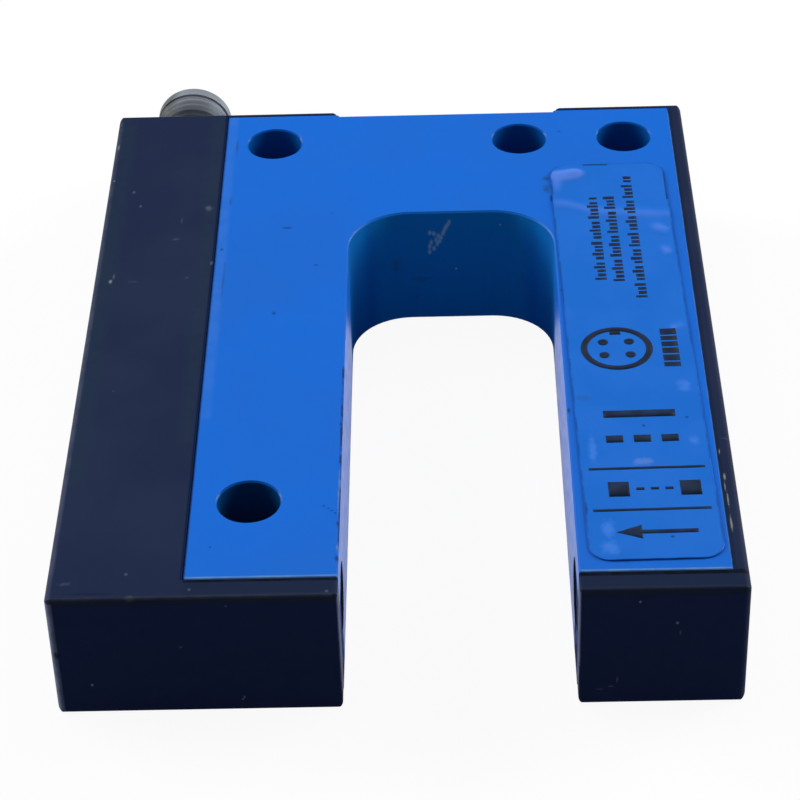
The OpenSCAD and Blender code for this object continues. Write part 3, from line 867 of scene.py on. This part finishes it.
@dataclass
class Studio:
    """Pale floor, soft light from above and both sides, and the camera, in metres and degrees."""

    eye: Point = (-0.000224, -0.241704, 0.162838)
    pitch: float = 37.187
    yaw: float = 1.3557
    roll: float = 1.9812
    lens: float = 124.04
    sensor: float = 36.0
    clip: Pair = (0.01, 20.0)
    aim: Point = (0.0, -0.03, 0.0)
    floor_half: float = 3.0
    lamp_size: float = 0.9
    lamp_place: Point = (-0.1, 0.24, 0.85)
    lamp_watts: float = 2.2
    side_size: float = 0.6
    side_place: Point = (0.8, 0.36, 0.4)
    side_watts: float = 8.4
    fill: float = 0.15
    mirrored: float = 0.2
    bounce: float = 0.2
    glow: float = 0.93
    matt: float = 0.9

    def axes(self) -> tuple[np.ndarray, np.ndarray, np.ndarray]:
        """Works out the camera's right, up and back axes from its three angles."""
        pitch, yaw, roll = np.radians([self.pitch, self.yaw, self.roll])
        right = np.array([np.cos(yaw), np.sin(yaw), 0.0])
        ahead = np.array([-np.sin(yaw) * np.cos(pitch), np.cos(yaw) * np.cos(pitch), -np.sin(pitch)])
        down = np.cross(ahead, right)
        side = right * np.cos(roll) + down * np.sin(roll)
        low = down * np.cos(roll) - right * np.sin(roll)
        return side, -low, -ahead

    def camera(self) -> None:
        """Places the camera at the photograph's view."""
        data = bpy.data.cameras.new("view")
        data.lens, data.sensor_width = self.lens, self.sensor
        data.clip_start, data.clip_end = self.clip
        holder = add_object("view", data)
        turn = Matrix(np.stack(self.axes(), 1).tolist()).to_4x4()
        holder.matrix_world = Matrix.Translation(Vector(self.eye)) @ turn
        bpy.context.scene.camera = holder

    @staticmethod
    def seen(canvas: Canvas) -> Socket:
        """Gives 1 for rays from the camera, reflections and clear pieces, and 0 for the rest."""
        rays = canvas.node("ShaderNodeLightPath").outputs
        shown = canvas.math("MAXIMUM", rays["Is Camera Ray"], rays["Is Glossy Ray"])
        return canvas.math("MAXIMUM", shown, rays["Is Transmission Ray"])

    def floor(self) -> None:
        """Lays a white floor with a faint shadow, which throws little light back at the object's sides."""
        half = self.floor_half / MM
        points = half * np.array([[-1.0, -1.0, 0.0], [1.0, -1.0, 0.0], [1.0, 1.0, 0.0], [-1.0, 1.0, 0.0]])
        piece = place_mesh("floor", points, np.array([[0, 1, 2, 3]]))
        material = bpy.data.materials.new("pale_floor")
        material.use_nodes = True
        canvas = Canvas(material.node_tree)
        seen = self.seen(canvas)
        canvas.fill(material.node_tree.nodes["Principled BSDF"], {
            "Base Color": canvas.tint(seen, grey(self.bounce), grey(1.0 - self.glow)),
            "Emission Color": canvas.tint(seen, grey(0.0), grey(self.glow)),
            "Emission Strength": 1.0,
            "Roughness": self.matt,
            "Specular IOR Level": 0.0,
        })
        piece.data.materials.append(material)

    def lamp(self, name: str, size: float, watts: float, place: Point) -> None:
        """Hangs one square soft lamp that faces the object.

        Args:
            name: The lamp's name.
            size: Side of its face.
            watts: Its power.
            place: Where it hangs.
        """
        data = bpy.data.lights.new(name, "AREA")
        data.shape, data.size, data.energy = "SQUARE", size, watts
        holder = add_object(name, data)
        holder.location = place
        holder.rotation_euler = (Vector(self.aim) - Vector(place)).to_track_quat("-Z", "Y").to_euler()

    def light(self) -> None:
        """Hangs a soft lamp above the object and one at each side, and sets a dim even sky."""
        self.lamp("softbox", self.lamp_size, self.lamp_watts, self.lamp_place)
        x, y, z = self.side_place
        self.lamp("softbox_left", self.side_size, self.side_watts, (-x, y, z))
        self.lamp("softbox_right", self.side_size, self.side_watts, (x, y, z))
        world = bpy.data.worlds.new("sky")
        bpy.context.scene.world = world
        world.use_nodes = True
        canvas = Canvas(world.node_tree)
        rays = canvas.node("ShaderNodeLightPath").outputs
        dim = canvas.ramp(rays["Is Glossy Ray"], 0.0, 1.0, self.fill, self.mirrored)
        strength = canvas.math("MAXIMUM", rays["Is Camera Ray"], dim)
        canvas.fill(world.node_tree.nodes["Background"], {"Color": grey(1.0), "Strength": strength})

    def build(self) -> None:
        """Sets up the whole studio."""
        bpy.context.scene.view_settings.view_transform = "Standard"
        self.camera()
        self.floor()
        self.light()


HOLES = ((-17.9, 0.0), (7.2, 0.0), (17.9, 0.0), (-17.9, -58.0))
# Painted bounce light and shade at the closed end of the opening: lighter and greener on the end wall, darker
# where the walls curve into it
CLOSED_END_SHADING = (
    *marks((12, 152, 214), 0.8, (0.0, -14.5, 11.0, 10.5), level=WALLS, soft=(1.0, 8.5, 0.2)),
    *marks((2, 112, 198), 0.8, (-9.2, -15.5, 2.6, 9.5), level=WALLS, soft=(1.8, 7.0, 0.2)),
    *marks((2, 114, 204), 0.8, (9.2, -15.5, 2.6, 9.5), level=WALLS, soft=(1.8, 7.0, 0.2)),
    *marks((2, 88, 160), 0.5, (-10.2, -18.0, 1.6, 6.0), (10.2, -18.0, 1.6, 6.0), level=WALLS,
           soft=(1.2, 4.0, 0.2)),
)
# Painted shade on the far rims of the holes, over the chamfers that catch the light
RIM_SHADE = marks(
    (6, 84, 176), 0.85, *((x, y + 2.2, 2.9, 1.6) for x, y in HOLES), level=RIM, soft=(0.6, 1.0, 0.03),
)
# Dark, dull patches on the walls of the opening, in front of the windows
DARK_WALL_PATCHES = marks(
    (18, 22, 36), 0.88, (-10.0, -67.4, 4.8, 1.6, 5.0, 6.2), (10.0, -67.4, 4.6, 1.6, 6.0, 6.6),
    rag=0.3, soft=(0.6, 3.2, 2.6),
)
BLUE_STAINS_AND_LIGHT = (
    # Painted shade in the holes and on their far rims, and painted bounce light and shade at the closed end
    # of the opening
    *marks((0, 86, 160), 0.92, *((*hole, 4.2, 4.2) for hole in HOLES[:3]), level=WALLS, soft=0.2),
    *marks((0, 66, 112), 0.92, (*HOLES[3], 4.2, 4.2), level=WALLS, soft=0.2),
    *RIM_SHADE,
    *CLOSED_END_SHADING,
    # Pale front edges, partly wear and partly a painted highlight; painted shade in the seam beside the left
    # dark part, and a pale seam beside the right one
    *marks((98, 144, 194), 0.9, (-16.5, -67.98, 6.5, 0.26), (16.5, -67.98, 6.4, 0.26),
           level=(12.76, 0.3), rag=0.35, soft=0.18),
    *marks((4, 40, 92), 0.9, (-22.95, -31.0, 0.22, 37.2), level=SEAM, soft=0.14),
    *marks((104, 140, 172), 0.7, (22.84, -31.0, 0.13, 37.0), level=(12.78, 0.3), rag=0.5, soft=0.08),
    # Rub marks along the left edge
    *marks((60, 120, 214), 0.45, (-22.35, -20.0, 0.75, 26.5), level=SCUFF, rag=0.45, soft=0.6),
    *marks((40, 84, 150), 0.7, (-21.75, -0.4, 0.2, 1.9), (-21.9, -10.6, 0.16, 1.2),
           (-21.9, -24.5, 0.14, 4.2), rag=0.3),
    # Scuffs and specks on the top
    *marks((18, 58, 120), 0.7, (-16.05, -15.63, 0.7, 0.28), (-22.33, -19.2, 0.22, 0.3),
           (-13.06, -22.2, 0.28, 0.2), (-16.83, -30.1, 0.28, 0.42), (-20.9, -64.0, 0.15, 0.2),
           level=SCUFF, rag=0.12, grit=3.0),
    *marks((24, 78, 156), 0.6, (-11.74, -13.2, 0.22, 0.22), (11.37, 1.2, 0.3, 0.35), level=SCUFF),
    # Dirt at the film's rear corner
    *marks((34, 78, 118), 0.7, (9.68, -7.7, 0.5, 0.55), (9.6, -9.6, 0.45, 0.9), level=SCUFF,
           rag=0.3, grit=2.5),
    *marks((12, 52, 104), 0.85, (10.05, -11.4, 0.2, 0.9), level=SCUFF),
    # Chipped edges of the opening
    *marks((120, 136, 184), 0.7, (-10.1, -64.3, 0.2, 0.4), (-10.1, -57.0, 0.18, 3.6),
           level=(12.7, 0.3), rag=0.3, grit=2.0),
    *marks((10, 34, 84), 0.9, (-10.0, -45.8, 0.24, 7.2), (-10.02, -58.6, 0.14, 6.0), level=EDGE,
           rag=0.75, soft=0.1),
    *marks((20, 62, 138), 0.75, (-11.39, -58.82, 0.2, 0.24), (-11.0, -59.15, 0.24, 0.14),
           (-10.7, -59.45, 0.24, 0.16), (-10.4, -59.8, 0.22, 0.2)),
    *marks((20, 44, 92), 0.8, (-10.12, -65.8, 0.3, 0.6), (-10.1, -61.2, 0.26, 0.5),
           (-10.1, -47.4, 0.24, 0.6), (10.2, -46.0, 0.2, 0.5), (10.43, -24.8, 12.8, 0.14, 0.3, 0.4),
           (10.43, -27.2, 12.8, 0.2, 0.26, 0.4), level=EDGE, rag=0.2, grit=3.0),
    # Pale and grey stains on the closed end of the opening
    *marks((190, 230, 228), 0.64, *upright(CLOSED_FACE, *((*spot, 0.26, 0.42) for spot in (
        (-0.15, 11.6), (-0.33, 11.25), (-0.52, 10.95), (-0.66, 10.6), (-0.8, 10.25), (-0.98, 9.75),
        (-1.15, 9.35), (-1.35, 9.05), (-1.7, 8.5), (-2.15, 8.1), (-2.1, 10.35), (-1.7, 10.25),
        (-1.25, 10.0), (-1.5, 9.5), (-1.97, 9.2), (-2.15, 8.75),
    ))), rag=0.15, grit=4.0),
    *marks((70, 78, 98), 0.35, *upright(
        CLOSED_FACE, (-5.6, 6.6, 0.6, 1.0), (-3.1, 4.8, 1.1, 0.4), (-3.6, 2.6, 0.35, 0.4),
    ), rag=0.45, grit=2.5),
    *marks((178, 222, 222), 0.6, *upright(CLOSED_FACE, (0.47, 6.0, 0.16, 0.22), (4.9, 11.2, 0.16, 0.16))),
    # Dark, dull patches on the walls of the opening, in front of the windows
    *DARK_WALL_PATCHES,
)
BLUE_PAINT = Finish(
    "blue_paint", srgb(20, 106, 214), srgb(26, 104, 207), (0.3, 0.4), cloud=0.06, specular=0.09, grain=0.35,
    relief=0.003,
    dust=(Dust(srgb(20, 60, 130), 3.2, 0.10, 0.10, 0.35),),
    stains_and_light=BLUE_STAINS_AND_LIGHT,
    dull=(*CLOSED_END_SHADING, *RIM_SHADE, *DARK_WALL_PATCHES),
)
DARK_STAINS_AND_LIGHT = (
    # Greener tone along the long edges, darker end strips, and painted shade in the seams beside the body
    *marks((34, 52, 70), 0.5, (-33.4, -25.0, 1.4, 31.0), (-23.9, -22.0, 1.1, 28.0),
           level=(12.8, 1.0), rag=0.5, soft=1.0),
    *marks((26, 38, 63), 0.75, (-16.5, -69.25, 6.4, 1.0), (17.0, -69.25, 7.0, 1.0), soft=0.4),
    *marks((5, 9, 20), 0.9, (-16.4, -68.35, 6.6, 0.24), (17.0, -68.35, 7.3, 0.34), level=SEAM,
           rag=0.2, soft=0.16),
    *marks((4, 26, 64), 0.85, (-23.1, -31.0, 0.16, 37.2), level=SEAM, soft=0.12),
    *marks((14, 26, 48), 0.4, (23.05, -31.0, 0.18, 37.2), level=SEAM, soft=0.14),
    # Bluer end faces; pale front top edges, partly wear and partly a painted highlight; painted highlights on
    # the round left corner, along the left top edge and on the upright edges beside the opening
    *marks((30, 45, 90), 0.9, (-5.0, -70.6, 5.7, 32.0, 0.4, 6.4), soft=0.15),
    *marks((64, 68, 82), 0.7, (-22.2, -70.3, 12.74, 11.8, 0.22, 0.24), rag=0.35, soft=0.16),
    *marks((50, 55, 68), 0.6, (17.0, -70.3, 12.74, 7.0, 0.22, 0.24), rag=0.35, soft=0.16),
    *marks((140, 152, 186), 0.9, (-34.1, -70.1, 6.2, 0.44, 0.44, 6.2), rag=0.25, soft=0.3),
    *marks((70, 78, 104), 0.35, (-34.15, -33.0, 0.42, 38.0), (-34.15, -50.0, 0.42, 21.0),
           level=(12.55, 0.4), rag=0.5, soft=0.25),
    *marks((112, 118, 156), 0.55, (-10.02, -70.3, 7.2, 0.14, 0.26, 5.4), rag=0.4, soft=0.1),
    *marks((116, 120, 164), 0.75, (10.03, -70.3, 8.4, 0.13, 0.26, 4.2), rag=0.3, soft=0.1),
    # Nicks of the left edge and of the front edge
    *marks((150, 160, 172), 0.5, (-34.0, 0.0, 0.16, 0.7), (-33.9, -6.4, 0.16, 0.26), level=(12.6, 0.5)),
    *marks((78, 84, 92), 0.7, (-27.2, -70.3, 0.55, 0.4), level=EDGE, rag=0.2, grit=3.0),
    *marks((8, 12, 24), 0.8, (-33.9, -70.35, 6.6, 0.4, 0.4, 0.5), rag=0.2, grit=3.0),
    # Dust and lint on the top
    *marks((104, 112, 134), 0.42, (-27.73, -67.3, 0.2, 0.28), (-22.32, -69.4, 0.2, 0.24),
           (-10.9, -69.9, 0.2, 0.24), (-31.74, -8.6, 0.24, 0.34), (-30.87, -11.2, 0.2, 0.34),
           (-23.2, -21.5, 0.2, 0.5), (-32.5, -23.5, 0.16, 0.6)),
    *marks((140, 146, 160), 0.65, (-32.75, -24.3, 0.24, 0.44)),
    *marks((76, 86, 108), 0.4, (-26.57, -13.9, 0.14, 0.7), (-25.43, -23.9, 0.3, 0.24)),
    *marks((92, 102, 114), 0.5, (-24.0, -11.86, 0.5, 0.6), rag=0.3, grit=3.0),
    *marks((76, 84, 104), 0.4, (-26.9, -17.2, 0.6, 0.24), (-30.65, -24.4, 0.7, 0.16),
           (-32.8, -68.4, 0.6, 0.3), rag=0.4, grit=3.0),
    *marks((20, 28, 50), 0.7, (-30.7, -69.72, 3.2, 0.16), level=SEAM),
    *marks((158, 160, 154), 0.65, (23.18, -55.9, 0.14, 0.6), (23.1, -57.2, 0.07, 0.8),
           (23.2, -59.0, 0.09, 1.2), (23.2, -62.2, 0.12, 1.3), (23.05, -52.4, 0.07, 0.5),
           rag=0.3, grit=5.0),
    *marks((90, 96, 110), 0.5, (23.74, -50.5, 0.5, 0.1)),
    # Specks and a bent scratch on the end faces
    *marks((196, 200, 208), 0.5, *upright(
        END_FACE, (-31.18, 3.2, 0.17, 0.2), (-18.5, 1.25, 0.14, 0.14), (-18.35, 1.5, 0.12, 0.18),
        (15.0, 11.4, 0.17, 0.18), (18.14, 9.0, 0.18, 0.2),
    )),
    *marks((116, 122, 140), 0.4, *upright(
        END_FACE, (-23.35, 7.3, 0.2, 0.16), (-19.3, 11.8, 0.2, 0.16), (18.42, 7.9, 0.14, 0.4),
        (11.8, 1.65, 0.5, 0.1), (12.75, 1.95, 0.4, 0.14), (13.25, 2.7, 0.13, 0.5),
    )),
)
DARK_PLASTIC = Finish(
    "dark_plastic", srgb(31, 42, 71), srgb(35, 46, 74), (0.4, 0.52), cloud=0.12, specular=0.03, grain=0.18,
    relief=0.006,
    dust=(Dust(srgb(70, 82, 110), 2.6, 0.14, 0.09, 0.3), Dust(srgb(60, 72, 104), 1.1, 0.12, 0.07, 0.3)),
    scratches=(Scratch(srgb(62, 73, 103), (0.9, 0.35, 0.6), 0.012, 0.32, 0.3),),
    stains_and_light=DARK_STAINS_AND_LIGHT,
)
FILM_STAINS_AND_SHEEN = (
    # Pale bubbles, partly a painted sheen, and scuffs
    *marks((78, 136, 234), 0.5, (20.7, -17.3, 0.8, 0.9), (20.8, -21.2, 0.7, 0.9), (20.7, -42.8, 0.9, 1.1),
           (21.0, -50.9, 0.6, 0.8), (12.8, -65.2, 1.1, 1.3), (12.75, -62.8, 0.8, 1.5),
           (20.5, -33.7, 0.6, 0.7), (12.0, -52.0, 0.5, 2.6), level=ON_FILM, rag=0.3, grit=1.6),
    *marks((104, 140, 214), 0.5, (16.3, -53.7, 1.3, 0.6), level=ON_FILM, rag=0.35, grit=2.5),
    # Dirt under the edges and specks
    *marks((12, 52, 112), 0.9, (14.7, -5.5, 1.3, 0.2), (21.5, -9.6, 0.16, 2.6), level=ON_FILM, soft=0.12),
    *marks((22, 40, 66), 0.7, (11.02, -60.0, 0.2, 1.2), level=ON_FILM, rag=0.3, grit=2.0),
    *marks((18, 48, 96), 0.8, (20.6, -47.5, 0.24, 0.2), (16.7, -48.6, 0.2, 0.26), (18.1, -63.9, 0.26, 0.22),
           level=ON_FILM),
    *marks((36, 94, 168), 0.5, (11.6, -44.4, 0.9, 0.6), level=ON_FILM, rag=0.4, grit=2.0),
)
FILM = FilmFinish(
    "label_film", srgb(27, 107, 206), srgb(34, 110, 210), (0.3, 0.4), cloud=0.18, specular=0.06, grain=0.8,
    relief=0.003,
    stains_and_light=FILM_STAINS_AND_SHEEN,
)
INK = Finish(
    "print_ink", srgb(30, 41, 60), srgb(36, 50, 76), (0.45, 0.55), cloud=0.6, specular=0.05, grain=0.3,
)
PLUG_DARKENING = (
    # Greyer and darker thread towards the housing, and a darker left side
    *marks((120, 126, 136), 0.85, (-27.5, 11.0, 6.4, 6.0, 3.2, 6.0), soft=0.2),
    *marks((100, 106, 114), 0.85, (-27.5, 10.0, 6.4, 6.0, 3.3, 6.0), soft=0.5),
    *marks((40, 46, 54), 0.92, (-27.5, 8.6, 6.4, 6.0, 3.6, 6.0), rag=0.1, soft=0.9),
    *marks((64, 66, 64), 0.85, (-31.2, 12.0, 8.0, 2.7, 4.4, 4.0), rag=0.15, soft=1.6),
)
PLUG = Finish(
    "plug_metal", srgb(144, 151, 160), srgb(132, 139, 149), (0.48, 0.58), cloud=0.4, metallic=0.2,
    specular=0.15, grain=0.25, relief=0.004,
    stains_and_light=PLUG_DARKENING,
)
INNER_FINISHES = (
    Finish("filter_plastic", srgb(20, 22, 34), srgb(27, 28, 40), (0.6, 0.7), specular=0.0),
    Finish("black_plastic", srgb(26, 27, 30), srgb(34, 35, 38), (0.45, 0.6)),
    Finish("lens_plastic", srgb(222, 232, 238), srgb(214, 226, 236), (0.05, 0.1), clear=0.85, specular=0.5),
    Finish("plate_steel", srgb(150, 153, 158), srgb(134, 138, 144), (0.3, 0.45), metallic=1.0),
    Finish("chip_plastic", srgb(30, 30, 33), srgb(38, 38, 41), (0.5, 0.65), grain=0.12),
    Finish("board_laminate", srgb(22, 92, 50), srgb(30, 108, 60), (0.35, 0.5), cloud=0.5),
    Finish("can_aluminium", srgb(178, 182, 188), srgb(164, 168, 176), (0.3, 0.4), metallic=1.0),
    Finish("wire_jacket", srgb(148, 49, 39), srgb(134, 43, 35), (0.5, 0.6), cloud=0.8),
    Finish("contact_brass", srgb(206, 172, 96), srgb(190, 154, 82), (0.22, 0.34), metallic=1.0, cloud=0.9),
    Finish("seal_rubber", srgb(22, 22, 24), srgb(30, 30, 32), (0.65, 0.8), cloud=0.7),
)
SLOT_NODES = {
    "blue_paint": ("fork_body",),
    "dark_plastic": ("receiver_housing", "emitter_cover"),
    "seal_rubber": ("receiver_gasket", "emitter_gasket", "plug_seal"),
    "filter_plastic": ("receiver_window", "emitter_window"),
    "black_plastic": ("receiver_holder", "emitter_holder", "plug_insert"),
    "lens_plastic": ("receiver_lens", "emitter_lens", "emitter_led"),
    "plate_steel": ("aperture_plate",),
    "chip_plastic": (
        "photodiode", "controller_chip", "output_driver", "board_resistors", "emitter_resistors",
    ),
    "board_laminate": ("main_board", "emitter_board"),
    "can_aluminium": ("board_capacitors",),
    "wire_jacket": ("link_wires", "plug_leads"),
    "contact_brass": ("plug_pins",),
}


class Sensor:
    """The whole object: carried-over CAD nodes with their finishes, and the pieces made here."""

    def __init__(self, effects: EffectLibrary) -> None:
        """Makes one material per finish."""
        finishes = (BLUE_PAINT, DARK_PLASTIC, *INNER_FINISHES)
        self.materials = {finish.name: finish.make(effects) for finish in finishes}
        self.effects = effects

    def dress_nodes(self) -> None:
        """Gives every carried-over node the material of its slot."""
        for slot, names in SLOT_NODES.items():
            for name in names:
                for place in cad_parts[name].material_slots:
                    place.material = self.materials[slot]
                LOG.info("node %s: %s", name, slot)

    def add(self, piece: Piece, material: bpy.types.Material, slot: str, *nodes: str) -> None:
        """Dresses a new piece and ties it to the frame.

        Args:
            piece: The new piece.
            material: Its material.
            slot: The record's material slot; not used.
            *nodes: CAD nodes that the piece stands for.
        """
        piece.data.materials.append(material)
        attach(piece, BODY)
        if nodes:
            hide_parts(*nodes)
        LOG.info("piece %s: %d faces", piece.name, len(piece.data.polygons))

    def build(self) -> None:
        """Builds the new pieces and dresses everything."""
        self.dress_nodes()
        film = LabelFilm()
        self.add(film.build(), FILM.make(self.effects), "label_film", "label_film")
        self.add(LabelPrint(film).build(), INK.make(self.effects), "label_film")
        self.add(PlugShell().build(), PLUG.make(self.effects), "plug_metal", "plug_shell")


def main() -> None:
    """Builds the studio and the sensor in order."""
    logging.basicConfig(level=logging.INFO)
    Studio().build()
    Sensor(EffectLibrary()).build()


if __name__ == "__main__":
    main()
